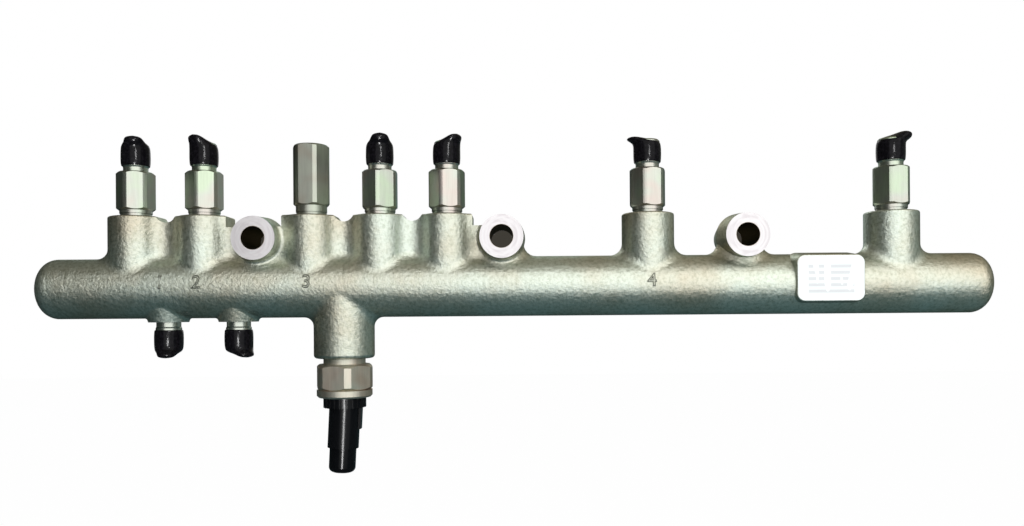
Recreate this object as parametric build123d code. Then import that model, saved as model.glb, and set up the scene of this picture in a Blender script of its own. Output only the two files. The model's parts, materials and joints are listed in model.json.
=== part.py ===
from build123d import *
import math
import os

# Common-rail fuel accumulator of a six-cylinder engine, millimetres.
# +X runs along the rail, +Z is up towards the outlets, -Y is the front.
# The origin is the centre of the middle mounting hole, at its seat on the engine.
# Heights are measured from the bar's axis, or above its surface where a comment says so.
# Places along X are measured from the middle lug.

# Rail forging
RAIL_LEFT = -260.4
RAIL_RIGHT = 274.0
RAIL_RADIUS = 17.0
RAIL_END_ROUND = 8.5
BORE_RADIUS = 5.5
BORE_BLIND_END = 10.0

# Outlet bosses on top of the rail, their height above the bar's surface
BOSS_RADIUS = 14.75
BOSS_HEIGHT = 23.6
BOSS_RIM_ROUND = 1.2
BASE_BLEND = 7.0
WAIST_RADIUS = 11.0
SCALLOP_RADIUS = 6.0
SCALLOP_DEPTH = 3.6
OUTLET_X = (-208.3, -169.3, -69.2, -31.1, 83.2, 222.0)
LIMITER_X = -108.3

# Mounting lugs, bored along Y: the hole's height, face and seat are measured from the bar's surface
LUG_X = (-136.3, 0.0, 135.2)
LUG_LIFT = 10.0
LUG_FACE_RADIUS = 12.1
LUG_MIDDLE_RADIUS = 13.3
LUG_SEAT_RADIUS = 10.0
LUG_POST_RADIUS = 12.5
LUG_WEB_RISE = 7.0
LUG_FACE_PROUD = 1.0
LUG_SEAT_PROUD = 0.5
LUG_HOLE_RADIUS = 6.5
LUG_BLEND = 2.0

# Inlet nipples and sensor boss under the rail, drop and height below the bar's surface
INLET_X = (-190.1, -150.2)
SHOULDER_RADIUS = 10.85
SHOULDER_DROP = 2.1
SHOULDER_SLOPE = 15.0
SHOULDER_ROOT = 4.0
SHOULDER_BLEND = 2.4
SENSOR_X = -90.1
SENSOR_BOSS_RADIUS = 16.3
SENSOR_BOSS_SWELL = 0.8
SENSOR_BLEND = 5.5
SENSOR_BOSS_HEIGHT = 23.2
SENSOR_RIM_ROUND = 2.0

# Line threads of outlets and inlets, M14 x 1.5 with a 60 degree seat cone
LINE_THREAD_RADIUS = 7.0
LINE_THREAD_LENGTH = 13.0
LINE_NECK_RADIUS = 6.6
LINE_NECK_LENGTH = 3.4
LINE_BORE_RADIUS = 1.6
LINE_CONE_MOUTH = 4.6
LINE_CONE_ANGLE = 30.0
LINE_END_CHAMFER = 0.8

# Flat pad on the front for the rating label
PAD_X = 180.3
PAD_HEIGHT = 2.7
PAD_WIDTH = 37.4
PAD_TALL = 25.7
PAD_CORNER = 4.5
PAD_PROUD = 1.3
PAD_DEPTH = 14.0
PAD_DRAFT = -8.0
PAD_ROUND = 0.8
LABEL_MARGIN = 0.5
LABEL_THICK = 0.3

# Flow limiter, screwed into an outlet boss whose socket ends above the bar's surface
SOCKET_RADIUS = 9.0
SOCKET_FLOOR_HEIGHT = 0.5
THREAD_CLEARANCE = 0.06
PRESS_CLEARANCE = 0.02
FEED_RADIUS = 1.7
COLLAR_RADIUS = 8.7
COLLAR_FOOT_RADIUS = 8.35
COLLAR_GROOVE_RADIUS = 7.9
COLLAR_GROOVE_WIDTH = 0.35
COLLAR_HEIGHT = 3.8
COLLAR_FOOT_HEIGHT = 1.7
HEX_ACROSS = 19.0
HEX_HEIGHT = 21.7
HEX_CORNER_RADIUS = 10.35
HEX_RIM_SHARE = 0.95
HEX_CHAMFER_ANGLE = 40.0
HEX_TURNS = (21.0, 26.0, 31.9, 15.2, 13.2, 7.0)
PISTON_RADIUS = 4.5
PISTON_CLEARANCE = 0.04
PISTON_LENGTH = 13.0
PISTON_TRAVEL = 3.2
PISTON_NOSE_RADIUS = 2.2
PISTON_TIP_RADIUS = 0.8
PISTON_PASSAGE_RADIUS = 1.3
PISTON_THROTTLE_RADIUS = 0.5
STOP_HEIGHT = 2.5
STOP_HOLE_RADIUS = 3.0
STOP_RADIUS = 5.2
SPRING_WIRE = 0.8
SPRING_TURNS = 4
SPRING_WALL_GAP = 0.25
SPRING_LENGTH = 13.0
VALVE_THROAT_RADIUS = 2.9
VALVE_CONE_ANGLE = 30.0
VALVE_SHUT_GAP = 0.05

# Pressure limiter
LIMITER_HEX_HEIGHT = 34.5
LIMITER_COLLAR_HEIGHT = 5.7
LIMITER_TURN = 53.8
LIMITER_BORE_RADIUS = 4.8
RETURN_HOLE_RADIUS = 6.25
RETURN_HOLE_DEPTH = 13.0
LIMITER_SEAT_HEIGHT = 6.0
LIMITER_SEAT_HOLE = 0.9
LIMITER_SEAT_MOUTH = 2.2
BALL_RADIUS = 2.0
BALL_CLEARANCE = 0.02
GUIDE_CLEARANCE = 0.04
GUIDE_DROP = 0.9
GUIDE_HEAD_HEIGHT = 5.0
GUIDE_FLAT_OFFSET = 3.6
GUIDE_STEM_RADIUS = 2.3
GUIDE_STEM_LENGTH = 9.0
LIMITER_SPRING_WIRE = 2.0
LIMITER_SPRING_LENGTH = 24.0
LIMITER_SPRING_TURNS = 5
SETTING_SCREW_HEIGHT = 6.0
SETTING_SCREW_HEX = 5.0

# Rail pressure sensor
SENSOR_THREAD_RADIUS = 9.0
SENSOR_SOCKET_DEPTH = 24.0
SENSOR_COLLAR_RADIUS = 11.8
SENSOR_COLLAR_HEIGHT = 3.3
SENSOR_HEX_ACROSS = 30.0
SENSOR_HEX_CORNER_RADIUS = 16.3
SENSOR_HEX_HEIGHT = 14.5
SENSOR_HEX_TURN = 12.7
SENSOR_SKIRT_RADIUS = 15.6
SENSOR_SKIRT_CHAMFER = 1.0
SENSOR_SKIRT_HEIGHT = 4.2
SENSOR_CAVITY_RADIUS = 10.6
SENSOR_CAVITY_DEPTH = 12.0
SENSOR_PORT_RADIUS = 1.5
ELEMENT_RADIUS = 4.0
ELEMENT_HEIGHT = 4.5
ELEMENT_WALL = 0.8
BOARD_THICK = 1.6
CAVITY_CLEARANCE = 0.1
BOARD_GAP = 0.2
RING_RADIUS = 12.0
RING_HEIGHT = 5.8
RIB_COUNT = 24
RIB_DEPTH = 0.5
RIB_GAP = 1.2
RIB_FOOT = 0.5
TUBE_RADIUS = 8.75
TUBE_LENGTH = 23.0
TUBE_WALL = 1.5
TUBE_LEAN = 3.0
TUBE_FLOOR = 1.5
TERMINAL_SPACING = 3.6
TERMINAL_WIDTH = 1.5
TERMINAL_THICK = 0.6
TERMINAL_REACH = 9.0
TERMINAL_CLEARANCE = 0.04
TAB_WIDTH = 5.0
TAB_DEPTH = 2.2
TAB_LENGTH = 12.0
PLUG_RADIUS = 7.5
PLUG_GRIP = 14.0
PLUG_DEPTH = 7.0
PLUG_CLEARANCE = 0.12
PLUG_WALL = 1.2
PLUG_ROUND = 3.0

# Soft dust caps on the line threads
CAP_WALL = 1.0
CAP_CLEARANCE = 0.1
CAP_TOP_ROOM = 1.0
CAP_ROUND = 2.5
CAP_BARE_THREAD = 4.3

# Screw plug at the right end of the lengthways bore
END_SOCKET_DEPTH = 16.0
END_SOCKET_RADIUS = 7.0
END_PLUG_LENGTH = 13.0
END_PLUG_NOSE = 3.0
END_PLUG_NOSE_GAP = 0.2
END_PLUG_HEX = 8.0
END_PLUG_HEX_DEPTH = 7.0

# How far solids of one piece run into each other and cutters past a face, and how far a wide cutter reaches
OVERLAP = 1.0
CUTTER_REACH = 60.0
# Where an edge is looked at to tell which surface it lies on, and how near it has to be
EDGE_SAMPLES = (0.1, 0.5, 0.9)
SURFACE_TOLERANCE = 0.02

# Places that follow the bar's surface
BOSS_TOP = RAIL_RADIUS + BOSS_HEIGHT
LUG_HEIGHT = RAIL_RADIUS + LUG_LIFT
LUG_WEB_TOP = LUG_HEIGHT + LUG_WEB_RISE
LUG_FRONT = RAIL_RADIUS + LUG_FACE_PROUD
LUG_BACK = RAIL_RADIUS + LUG_SEAT_PROUD
SENSOR_BOSS_END = RAIL_RADIUS + SENSOR_BOSS_HEIGHT
SOCKET_FLOOR = RAIL_RADIUS + SOCKET_FLOOR_HEIGHT
SHOULDER_END = RAIL_RADIUS + SHOULDER_DROP
PAD_FACE = RAIL_RADIUS + PAD_PROUD

AXIS_Y = -LUG_BACK
AXIS_Z = -LUG_HEIGHT


def place(shape, x=0.0, z=0.0, down=False):
    """A shape built upwards on its own Z axis, set on the rail at x and height z, or hung below it."""
    upright = Rot(180, 0, 0) * shape if down else shape
    return Pos(x, 0, z) * upright


def turned(points):
    """A solid of revolution about Z from (radius, height) points, closed along the axis if it reaches it."""
    outline = make_face(Polyline(*[(r, 0, h) for r, h in points], close=True))
    return revolve(outline, Axis.Z)


def tube(outer, inner, bottom, top):
    """A round tube on Z between two heights."""
    return turned([(inner, bottom), (outer, bottom), (outer, top), (inner, top)])


def rod(radius, bottom, top):
    """A round bar on Z between two heights."""
    return turned([(0, bottom), (radius, bottom), (radius, top), (0, top)])


def hexagon(across, corner, bottom, top, turn=0.0):
    """A hexagon bar on Z with its corners turned to a radius and both rims chamfered."""
    outline = Rot(0, 0, turn) * RegularPolygon(across / math.sqrt(3), 6)
    bar = Pos(0, 0, bottom) * extrude(outline, top - bottom)
    rim = across / 2 * HEX_RIM_SHARE
    drop = (corner - rim) * math.tan(math.radians(HEX_CHAMFER_ANGLE))
    lower = [(0, bottom), (rim, bottom), (corner, bottom + drop)]
    upper = [(corner, top - drop), (rim, top), (0, top)]
    return bar & turned(lower + upper)


def two_step_collar(foot, base):
    """Outline points of the turned collar under a hexagon: foot ring, shadow groove and upper ring."""
    groove = foot + COLLAR_FOOT_HEIGHT
    return [
        (COLLAR_FOOT_RADIUS, foot),
        (COLLAR_FOOT_RADIUS, groove),
        (COLLAR_GROOVE_RADIUS, groove),
        (COLLAR_GROOVE_RADIUS, groove + COLLAR_GROOVE_WIDTH),
        (COLLAR_RADIUS, groove + COLLAR_GROOVE_WIDTH),
        (COLLAR_RADIUS, base + OVERLAP),
        (0, base + OVERLAP),
    ]


def coil(radius, wire, turns, bottom, top):
    """A compression spring with a square wire section, between two seats."""
    rise = top - bottom - wire
    path = Helix(pitch=rise / turns, height=rise, radius=radius)
    section = Plane(path @ 0, x_dir=(1, 0, 0), z_dir=path % 0) * Rectangle(wire, wire)
    return Pos(0, 0, bottom + wire / 2) * sweep(section, path, is_frenet=True)


def line_end(base):
    """Outline points of a line nipple above base: neck, thread and end chamfer."""
    top = base + LINE_NECK_LENGTH + LINE_THREAD_LENGTH
    return [
        (LINE_NECK_RADIUS, base),
        (LINE_NECK_RADIUS, base + LINE_NECK_LENGTH - LINE_END_CHAMFER),
        (LINE_THREAD_RADIUS, base + LINE_NECK_LENGTH),
        (LINE_THREAD_RADIUS, top - LINE_END_CHAMFER),
        (LINE_THREAD_RADIUS - LINE_END_CHAMFER, top),
    ]


def line_cone(top):
    """The seat cone that a line's round end is pressed into, its mouth at top."""
    depth = (LINE_CONE_MOUTH - LINE_BORE_RADIUS) / math.tan(math.radians(LINE_CONE_ANGLE))
    return turned([(0, top - depth), (LINE_BORE_RADIUS, top - depth), (LINE_CONE_MOUTH, top), (0, top)])


# ---------------------------------------------------------------- the forging


def waist(left, right):
    """Centre and both touching points of the round waist between two circles (x, radius)."""
    xa, ra = left
    xb, rb = right
    span = xb - xa
    a = ra + WAIST_RADIUS
    b = rb + WAIST_RADIUS
    along = (a * a - b * b + span * span) / (2 * span)
    out = math.sqrt(a * a - along * along)
    centre = (xa + along, out)
    touch_a = (xa + along * ra / a, out * ra / a)
    touch_b = (xb + (centre[0] - xb) * rb / b, out * rb / b)
    return centre, touch_a, touch_b


def chain_outline(circles):
    """Plan outline of a row of round posts joined by round waists, symmetric about the X axis."""
    edges = []
    start = (circles[0][0] - circles[0][1], 0.0)
    for (x, r), following in zip(circles, circles[1:] + [None]):
        if following is None:
            end = (x + r, 0.0)
        else:
            centre, end, next_start = waist((x, r), following)
        a = math.atan2(start[1], start[0] - x)
        b = math.atan2(end[1], end[0] - x)
        middle = (x + r * math.cos((a + b) / 2), r * math.sin((a + b) / 2))
        edges.append((start, middle, end))
        if following is not None:
            dip = (centre[0], centre[1] - WAIST_RADIUS)
            edges.append((end, dip, next_start))
            start = next_start
    back = [ThreePointArc(*points) for points in edges]
    front = [ThreePointArc(*[(x, -y) for x, y in reversed(points)]) for points in reversed(edges)]
    return make_face(Wire(back + front))


def above(height, left, right):
    """A block that cuts off everything above a height between two places along the rail."""
    return Pos((left + right) / 2, 0, height + BOSS_TOP / 2) * Box(right - left, CUTTER_REACH, BOSS_TOP)


def ridge(circles, lugs):
    """A row of bosses and lug posts with webs, cut to its side profile."""
    solid = extrude(chain_outline(circles), BOSS_TOP)
    for (xa, ra), (xb, rb) in zip(circles, circles[1:]):
        if xa in lugs or xb in lugs:
            continue
        middle = (xa + ra + xb - rb) / 2
        cutter = Pos(middle, 0, BOSS_TOP - SCALLOP_DEPTH + SCALLOP_RADIUS) * Rot(90, 0, 0)
        solid -= cutter * Cylinder(SCALLOP_RADIUS, CUTTER_REACH)
    for x in lugs:
        before = [cx + r for cx, r in circles if cx < x]
        after = [cx - r for cx, r in circles if cx > x]
        left = max(before, default=x - LUG_POST_RADIUS)
        right = min(after, default=x + LUG_POST_RADIUS)
        solid -= above(LUG_WEB_TOP, left, right)
        if not before:
            solid -= above(LUG_HEIGHT, x - CUTTER_REACH, x)
        if not after:
            solid -= above(LUG_HEIGHT, x, x + CUTTER_REACH)
    return solid


def lug_barrel(x):
    """The lug's own barrel along Y, widest at the parting plane."""
    outline = Polyline(
        (0, -LUG_FRONT),
        (LUG_FACE_RADIUS, -LUG_FRONT),
        (LUG_MIDDLE_RADIUS, 0),
        (LUG_SEAT_RADIUS, LUG_BACK),
        (0, LUG_BACK),
        close=True,
    )
    return Pos(x, 0, LUG_HEIGHT) * revolve(make_face(outline), Axis.Y)


def barrel_edges(shape, x):
    """Edges where the post and the webs meet the lug's barrel at x."""
    found = []
    for edge in shape.edges():
        if edge.geom_type in (GeomType.LINE, GeomType.CIRCLE):
            continue
        off = []
        for spot in (edge.position_at(u) for u in EDGE_SAMPLES):
            reach, end = (LUG_FRONT, LUG_FACE_RADIUS) if spot.Y < 0 else (LUG_BACK, LUG_SEAT_RADIUS)
            radius = LUG_MIDDLE_RADIUS - (LUG_MIDDLE_RADIUS - end) * abs(spot.Y) / reach
            off.append(abs(math.hypot(spot.X - x, spot.Z - LUG_HEIGHT) - radius))
        if max(off) < SURFACE_TOLERANCE:
            found.append(edge)
    return found


def rail_bar():
    """The round bar with its rounded ends."""
    left = [(RAIL_LEFT, 0), (RAIL_LEFT, RAIL_RADIUS)]
    right = [(RAIL_RIGHT, RAIL_RADIUS), (RAIL_RIGHT, 0)]
    profile = make_face(Polyline(*left, *right, close=True))
    corners = [v for v in profile.vertices() if v.Y > RAIL_RADIUS / 2]
    return revolve(fillet(corners, RAIL_END_ROUND), Axis.X)


def label_pad():
    """The flat pad on the front of the bar."""
    face = Plane.XZ * Pos(PAD_X, PAD_HEIGHT) * RectangleRounded(PAD_WIDTH, PAD_TALL, PAD_CORNER)
    return Pos(0, -PAD_FACE, 0) * extrude(face, -PAD_DEPTH, taper=PAD_DRAFT)


def inlet_shoulder(x):
    """The short cone under the bar that carries an inlet nipple."""
    spread = (SHOULDER_END - SHOULDER_ROOT) * math.tan(math.radians(SHOULDER_SLOPE))
    wide = SHOULDER_RADIUS + spread
    root = [(0, SHOULDER_ROOT), (wide, SHOULDER_ROOT)]
    end = [(SHOULDER_RADIUS, SHOULDER_END), (0, SHOULDER_END)]
    return place(turned(root + end), x, down=True)


def inlet_nipple(x):
    """The threaded end of an inlet, one piece with the forging."""
    base = SHOULDER_END
    points = line_end(base)
    return place(turned([(0, base)] + points + [(0, points[-1][1])]), x, down=True)


def foot_edges(shape, left, right, below=False):
    """Edges where the bar meets what stands on it between two places, above or below the bar's axis."""
    found = []
    for edge in shape.edges():
        spots = [edge.position_at(u) for u in EDGE_SAMPLES]
        on_bar = all(abs(math.hypot(p.Y, p.Z) - RAIL_RADIUS) < SURFACE_TOLERANCE for p in spots)
        level = edge.geom_type in (GeomType.LINE, GeomType.CIRCLE)
        middle = edge.bounding_box().center()
        if on_bar and not level and (middle.Z < 0) == below and left < middle.X < right:
            found.append(edge)
    return found


def round_rims(shape, height, radius, below=False):
    """Round the outer edges of the flat faces at one height."""
    rims = []
    for face in shape.faces():
        level = -height if below else height
        if face.geom_type == GeomType.PLANE and abs(face.center().Z - level) < SURFACE_TOLERANCE:
            rims += face.outer_wire().edges()
    return fillet(rims, radius)


def forged_blank():
    """The forging before any machining: bar, bosses with webs, lugs, sensor boss, inlets and label pad."""
    posts = [(x, BOSS_RADIUS) for x in OUTLET_X + (LIMITER_X,)] + [(x, LUG_POST_RADIUS) for x in LUG_X]
    joined = sorted(post for post in posts if post[0] <= LUG_X[1])
    alone = [[post] for post in posts if post[0] > LUG_X[1]]
    blank = rail_bar()
    for circles in [joined] + alone:
        blank += ridge(circles, [x for x in LUG_X if circles[0][0] <= x <= circles[-1][0]])
    boss = extrude(Ellipse(SENSOR_BOSS_RADIUS + SENSOR_BOSS_SWELL, SENSOR_BOSS_RADIUS), SENSOR_BOSS_END)
    blank += place(boss, SENSOR_X, down=True)
    for x in INLET_X:
        blank += inlet_shoulder(x)
    blank = fillet(foot_edges(blank, RAIL_LEFT, RAIL_RIGHT), BASE_BLEND)
    beside_sensor = SENSOR_X - SENSOR_BOSS_RADIUS
    blank = fillet(foot_edges(blank, RAIL_LEFT, beside_sensor, below=True), SHOULDER_BLEND)
    blank = fillet(foot_edges(blank, beside_sensor, RAIL_RIGHT, below=True), SENSOR_BLEND)
    blank = round_rims(blank, BOSS_TOP, BOSS_RIM_ROUND)
    blank = round_rims(blank, SENSOR_BOSS_END, SENSOR_RIM_ROUND, below=True)
    for x in LUG_X:
        blank += lug_barrel(x)
        if joined[0][0] < x <= joined[-1][0]:
            blank = fillet(barrel_edges(blank, x), LUG_BLEND)
    return blank


def pad_rim(shape):
    """The outer edges of the pad's flat face."""
    flats = shape.faces().filter_by(GeomType.PLANE)
    front = [face for face in flats if abs(face.center().Y + PAD_FACE) < SURFACE_TOLERANCE]
    return front[0].outer_wire().edges()


def rail_body():
    """The forging, drilled and bored."""
    body = forged_blank() + label_pad()
    body = fillet(pad_rim(body), PAD_ROUND)
    for x in INLET_X:
        body += inlet_nipple(x)
    bore = Pos(0, 0, RAIL_LEFT + BORE_BLIND_END) * rod(BORE_RADIUS, 0, RAIL_RIGHT - RAIL_LEFT)
    body -= Rot(0, 90, 0) * bore
    body -= Rot(0, 90, 0) * rod(END_SOCKET_RADIUS, RAIL_RIGHT - END_SOCKET_DEPTH, RAIL_RIGHT + OVERLAP)
    for x in OUTLET_X + (LIMITER_X,):
        body -= place(rod(SOCKET_RADIUS, SOCKET_FLOOR, BOSS_TOP + OVERLAP), x)
        body -= place(rod(FEED_RADIUS, 0, SOCKET_FLOOR + OVERLAP), x)
    sensor_floor = SENSOR_BOSS_END - SENSOR_SOCKET_DEPTH
    body -= place(rod(SENSOR_THREAD_RADIUS, sensor_floor, SENSOR_BOSS_END + OVERLAP), SENSOR_X, down=True)
    body -= place(rod(FEED_RADIUS, 0, sensor_floor + OVERLAP), SENSOR_X, down=True)
    for x in INLET_X:
        top = SHOULDER_END + LINE_NECK_LENGTH + LINE_THREAD_LENGTH
        body -= place(rod(LINE_BORE_RADIUS, 0, top), x, down=True)
        body -= place(line_cone(top), x, down=True)
    for x in LUG_X:
        hole = Rot(90, 0, 0) * rod(LUG_HOLE_RADIUS, -LUG_BACK - OVERLAP, LUG_FRONT + OVERLAP)
        body -= Pos(x, 0, LUG_HEIGHT) * hole
    return body


def bore_plug():
    """The screw plug that closes the lengthways bore, with its hexagon recess outwards."""
    seat = RAIL_RIGHT - END_SOCKET_DEPTH
    radius = END_SOCKET_RADIUS - THREAD_CLEARANCE
    nose = BORE_RADIUS - END_PLUG_NOSE_GAP
    outline = [(0, seat - END_PLUG_NOSE), (nose, seat - END_PLUG_NOSE), (nose, seat), (radius, seat)]
    outline += [(radius, seat + END_PLUG_LENGTH), (0, seat + END_PLUG_LENGTH)]
    recess = extrude(RegularPolygon(END_PLUG_HEX / math.sqrt(3), 6), END_PLUG_HEX_DEPTH)
    recess = Pos(0, 0, seat + END_PLUG_LENGTH - END_PLUG_HEX_DEPTH) * recess
    return Rot(0, 90, 0) * (turned(outline) - recess)


def rating_label():
    """The label on the flat pad."""
    size = (PAD_WIDTH - 2 * LABEL_MARGIN, PAD_TALL - 2 * LABEL_MARGIN)
    face = Plane.XZ * Pos(PAD_X, PAD_HEIGHT) * RectangleRounded(*size, PAD_CORNER - LABEL_MARGIN)
    return Pos(0, -PAD_FACE, 0) * extrude(face, LABEL_THICK)


# ---------------------------------------------------------------- flow limiters

STOP_TOP = SOCKET_FLOOR + STOP_HEIGHT
PISTON_TOP = STOP_TOP + PISTON_LENGTH
SPRING_TOP = PISTON_TOP + SPRING_LENGTH
VALVE_CONE_SLOPE = math.tan(math.radians(VALVE_CONE_ANGLE))
VALVE_TOP = SPRING_TOP + (VALVE_THROAT_RADIUS - LINE_BORE_RADIUS) / VALVE_CONE_SLOPE
PISTON_TIP = VALVE_TOP + (LINE_BORE_RADIUS - PISTON_TIP_RADIUS) / VALVE_CONE_SLOPE - PISTON_TRAVEL
PISTON_TIP -= VALVE_SHUT_GAP / math.sin(math.radians(VALVE_CONE_ANGLE))
HEX_BASE = BOSS_TOP + COLLAR_HEIGHT
HEX_TOP = HEX_BASE + HEX_HEIGHT
LINE_TOP = HEX_TOP + LINE_NECK_LENGTH + LINE_THREAD_LENGTH


def flow_limiter_body(turn):
    """The hexagon fitting: rail thread below, line thread above, stepped valve bore inside."""
    shank = SOCKET_RADIUS - THREAD_CLEARANCE
    lower = [(0, SOCKET_FLOOR), (shank, SOCKET_FLOOR), (shank, BOSS_TOP)]
    lower += two_step_collar(BOSS_TOP, HEX_BASE)
    upper = [(0, HEX_TOP - OVERLAP), (LINE_NECK_RADIUS, HEX_TOP - OVERLAP)]
    upper += line_end(HEX_TOP) + [(0, LINE_TOP)]
    body = turned(lower) + hexagon(HEX_ACROSS, HEX_CORNER_RADIUS, HEX_BASE, HEX_TOP, turn) + turned(upper)
    bore = PISTON_RADIUS + PISTON_CLEARANCE
    inside = [(0, SOCKET_FLOOR), (STOP_RADIUS, SOCKET_FLOOR), (STOP_RADIUS, STOP_TOP), (bore, STOP_TOP)]
    inside += [(bore, SPRING_TOP), (VALVE_THROAT_RADIUS, SPRING_TOP), (LINE_BORE_RADIUS, VALVE_TOP)]
    inside += [(LINE_BORE_RADIUS, LINE_TOP), (0, LINE_TOP)]
    return body - turned(inside) - line_cone(LINE_TOP)


def flow_limiter_stop():
    """The ring pressed into the fitting's lower end, which holds the piston in."""
    return tube(STOP_RADIUS - PRESS_CLEARANCE, STOP_HOLE_RADIUS, SOCKET_FLOOR, STOP_TOP)


def flow_limiter_piston():
    """The piston: guided skirt, slim nose with a cone tip, a passage and two cross throttles."""
    taper = (PISTON_NOSE_RADIUS - PISTON_TIP_RADIUS) / VALVE_CONE_SLOPE
    outline = [(0, STOP_TOP), (PISTON_RADIUS, STOP_TOP), (PISTON_RADIUS, PISTON_TOP)]
    outline += [(PISTON_NOSE_RADIUS, PISTON_TOP), (PISTON_NOSE_RADIUS, PISTON_TIP - taper)]
    outline += [(PISTON_TIP_RADIUS, PISTON_TIP), (0, PISTON_TIP)]
    passage_end = PISTON_TOP + 2 * PISTON_PASSAGE_RADIUS
    piston = turned(outline) - rod(PISTON_PASSAGE_RADIUS, STOP_TOP, passage_end)
    throttle = Rot(90, 0, 0) * Cylinder(PISTON_THROTTLE_RADIUS, 4 * PISTON_NOSE_RADIUS)
    return piston - Pos(0, 0, passage_end - PISTON_PASSAGE_RADIUS) * throttle


def flow_limiter_spring():
    """The spring between the piston's shoulder and the bore's step."""
    radius = PISTON_RADIUS - SPRING_WALL_GAP - SPRING_WIRE / 2
    return coil(radius, SPRING_WIRE, SPRING_TURNS, PISTON_TOP, SPRING_TOP)


def dust_cap(foot, thread_top):
    """A soft cap pushed over a line thread, from its foot to above the thread's end."""
    inner = LINE_THREAD_RADIUS + CAP_CLEARANCE
    outer = inner + CAP_WALL
    room = thread_top + CAP_TOP_ROOM
    shell = rod(outer, foot, room + CAP_WALL)
    shell = fillet(shell.edges().filter_by(GeomType.CIRCLE).sort_by(Axis.Z)[-1], CAP_ROUND)
    return shell - rod(inner, foot, room)


# ---------------------------------------------------------------- pressure limiter

SEAT_TOP = SOCKET_FLOOR + LIMITER_SEAT_HEIGHT
BALL_CENTRE = SEAT_TOP - LIMITER_SEAT_MOUTH + (BALL_RADIUS + BALL_CLEARANCE) * math.sqrt(2)
GUIDE_BOTTOM = BALL_CENTRE + GUIDE_DROP
GUIDE_TOP = GUIDE_BOTTOM + GUIDE_HEAD_HEIGHT
SCREW_BOTTOM = GUIDE_TOP + LIMITER_SPRING_LENGTH
LIMITER_HEX_BASE = BOSS_TOP + LIMITER_COLLAR_HEIGHT
LIMITER_TOP = LIMITER_HEX_BASE + LIMITER_HEX_HEIGHT


def limiter_body(turn):
    """The tall hexagon body: rail thread below, valve chamber, open return port on top."""
    shank = SOCKET_RADIUS - THREAD_CLEARANCE
    lower = [(0, SOCKET_FLOOR), (shank, SOCKET_FLOOR), (shank, BOSS_TOP)]
    lower += two_step_collar(BOSS_TOP, LIMITER_HEX_BASE)
    body = turned(lower) + hexagon(HEX_ACROSS, HEX_CORNER_RADIUS, LIMITER_HEX_BASE, LIMITER_TOP, turn)
    port = LIMITER_TOP - RETURN_HOLE_DEPTH
    inside = [(0, SOCKET_FLOOR), (STOP_RADIUS, SOCKET_FLOOR), (STOP_RADIUS, SEAT_TOP)]
    inside += [(LIMITER_BORE_RADIUS, SEAT_TOP), (LIMITER_BORE_RADIUS, port)]
    inside += [(RETURN_HOLE_RADIUS, port), (RETURN_HOLE_RADIUS, LIMITER_TOP), (0, LIMITER_TOP)]
    return body - turned(inside)


def limiter_seat():
    """The hard seat pressed in at the rail end, with a cone for the ball."""
    outer = STOP_RADIUS - PRESS_CLEARANCE
    cone_foot = SEAT_TOP - (LIMITER_SEAT_MOUTH - LIMITER_SEAT_HOLE)
    points = [(LIMITER_SEAT_HOLE, SOCKET_FLOOR), (outer, SOCKET_FLOOR), (outer, SEAT_TOP)]
    points += [(LIMITER_SEAT_MOUTH, SEAT_TOP), (LIMITER_SEAT_HOLE, cone_foot)]
    return turned(points)


def limiter_ball():
    """The ball that closes the seat."""
    return Pos(0, 0, BALL_CENTRE) * Sphere(BALL_RADIUS)


def limiter_guide():
    """The ball's guide: a head with three flats for the fuel, and a stem inside the spring."""
    radius = LIMITER_BORE_RADIUS - GUIDE_CLEARANCE
    head = rod(radius, GUIDE_BOTTOM, GUIDE_TOP)
    flats = extrude(RegularPolygon(2 * GUIDE_FLAT_OFFSET, 3), GUIDE_HEAD_HEIGHT)
    stem = rod(GUIDE_STEM_RADIUS, GUIDE_TOP, GUIDE_TOP + GUIDE_STEM_LENGTH)
    apex = BALL_CENTRE + (BALL_RADIUS + BALL_CLEARANCE) * math.sqrt(2)
    cup = turned([(0, GUIDE_BOTTOM), (apex - GUIDE_BOTTOM, GUIDE_BOTTOM), (0, apex)])
    return (head & Pos(0, 0, GUIDE_BOTTOM) * flats) + stem - cup


def limiter_spring():
    """The strong spring that sets the opening pressure."""
    radius = LIMITER_BORE_RADIUS - SPRING_WALL_GAP - LIMITER_SPRING_WIRE / 2
    return coil(radius, LIMITER_SPRING_WIRE, LIMITER_SPRING_TURNS, GUIDE_TOP, SCREW_BOTTOM)


def limiter_screw():
    """The hollow setting screw above the spring."""
    screw = rod(LIMITER_BORE_RADIUS - THREAD_CLEARANCE, SCREW_BOTTOM, SCREW_BOTTOM + SETTING_SCREW_HEIGHT)
    hole = extrude(RegularPolygon(SETTING_SCREW_HEX / math.sqrt(3), 6), SETTING_SCREW_HEIGHT)
    return screw - Pos(0, 0, SCREW_BOTTOM) * hole


# ---------------------------------------------------------------- rail pressure sensor, built hanging down

SENSOR_HEX_BASE = SENSOR_BOSS_END + SENSOR_COLLAR_HEIGHT
SKIRT_BASE = SENSOR_HEX_BASE + SENSOR_HEX_HEIGHT
SKIRT_END = SKIRT_BASE + SENSOR_SKIRT_HEIGHT
CAVITY_FLOOR = SKIRT_END - SENSOR_CAVITY_DEPTH
BOARD_BASE = CAVITY_FLOOR + ELEMENT_HEIGHT + BOARD_GAP
BOARD_TOP = BOARD_BASE + BOARD_THICK
RING_END = SKIRT_END + RING_HEIGHT
TUBE_END = RING_END + TUBE_LENGTH


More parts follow.
